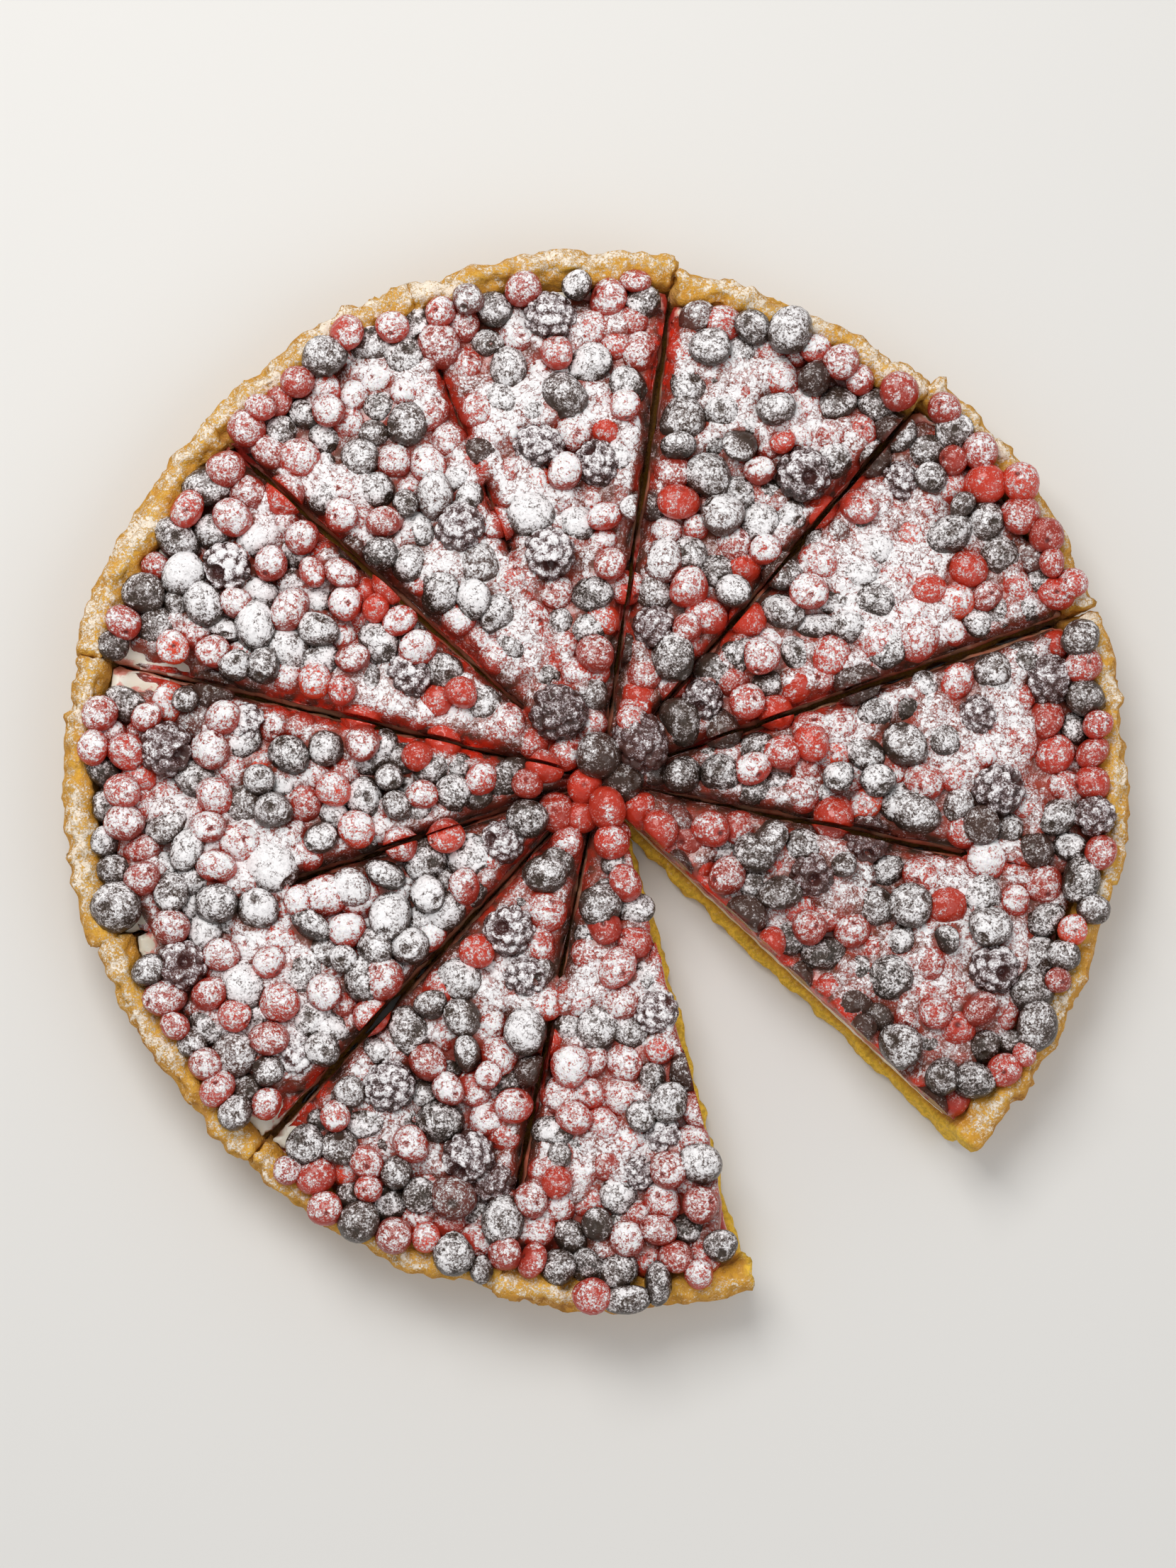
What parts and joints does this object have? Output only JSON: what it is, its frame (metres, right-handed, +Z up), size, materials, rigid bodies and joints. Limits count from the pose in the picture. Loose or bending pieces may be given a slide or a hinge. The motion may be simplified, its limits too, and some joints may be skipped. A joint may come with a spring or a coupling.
{
  "type": "berry tart",
  "caption": "Round berry tart: a shortcrust shell with cream and mixed berries under icing sugar, cut into portions, with one portion taken out.",
  "frame": {"origin": "under the middle of the tart's bounding box, on the surface that it rests on", "axes": "+Z up through the tart; the taken portion's space points between +X and -Y, nearer to -Y"},
  "size_m": [0.2818, 0.2804, 0.0318],
  "materials": {
    "pastry": "matte, crumbly golden shortcrust with icing sugar",
    "cream": "satin, set cream",
    "berries": "glossy red and dark berries with icing sugar",
    "bramble": "satin dark drupelets with icing sugar"
  },
  "bodies": {
    "root": {"crust_01": "pastry", "crust_02": "pastry", "crust_03": "pastry", "crust_04": "pastry", "crust_05": "pastry", "crust_06": "pastry", "crust_07": "pastry", "crust_08": "pastry", "crust_09": "pastry", "crust_10": "pastry", "crust_11": "pastry", "cream_01": "cream", "cream_02": "cream", "cream_03": "cream", "cream_04": "cream", "cream_05": "cream", "cream_06": "cream", "cream_07": "cream", "cream_08": "cream", "cream_09": "cream", "cream_10": "cream", "cream_11": "cream", "berries_01": "berries", "berries_02": "berries", "berries_03": "berries", "berries_04": "berries", "berries_05": "berries", "berries_06": "berries", "berries_07": "berries", "berries_08": "berries", "berries_09": "berries", "berries_10": "berries", "berries_11": "berries", "bramble_01": "bramble", "bramble_02": "bramble", "bramble_03": "bramble", "bramble_04": "bramble", "bramble_05": "bramble", "bramble_06": "bramble", "bramble_07": "bramble", "bramble_08": "bramble", "bramble_09": "bramble", "bramble_10": "bramble", "bramble_11": "bramble", "bramble_12": "bramble", "bramble_13": "bramble", "bramble_14": "bramble", "bramble_15": "bramble", "bramble_16": "bramble", "bramble_17": "bramble", "bramble_18": "bramble", "bramble_19": "bramble"}
  },
  "joints": []
}
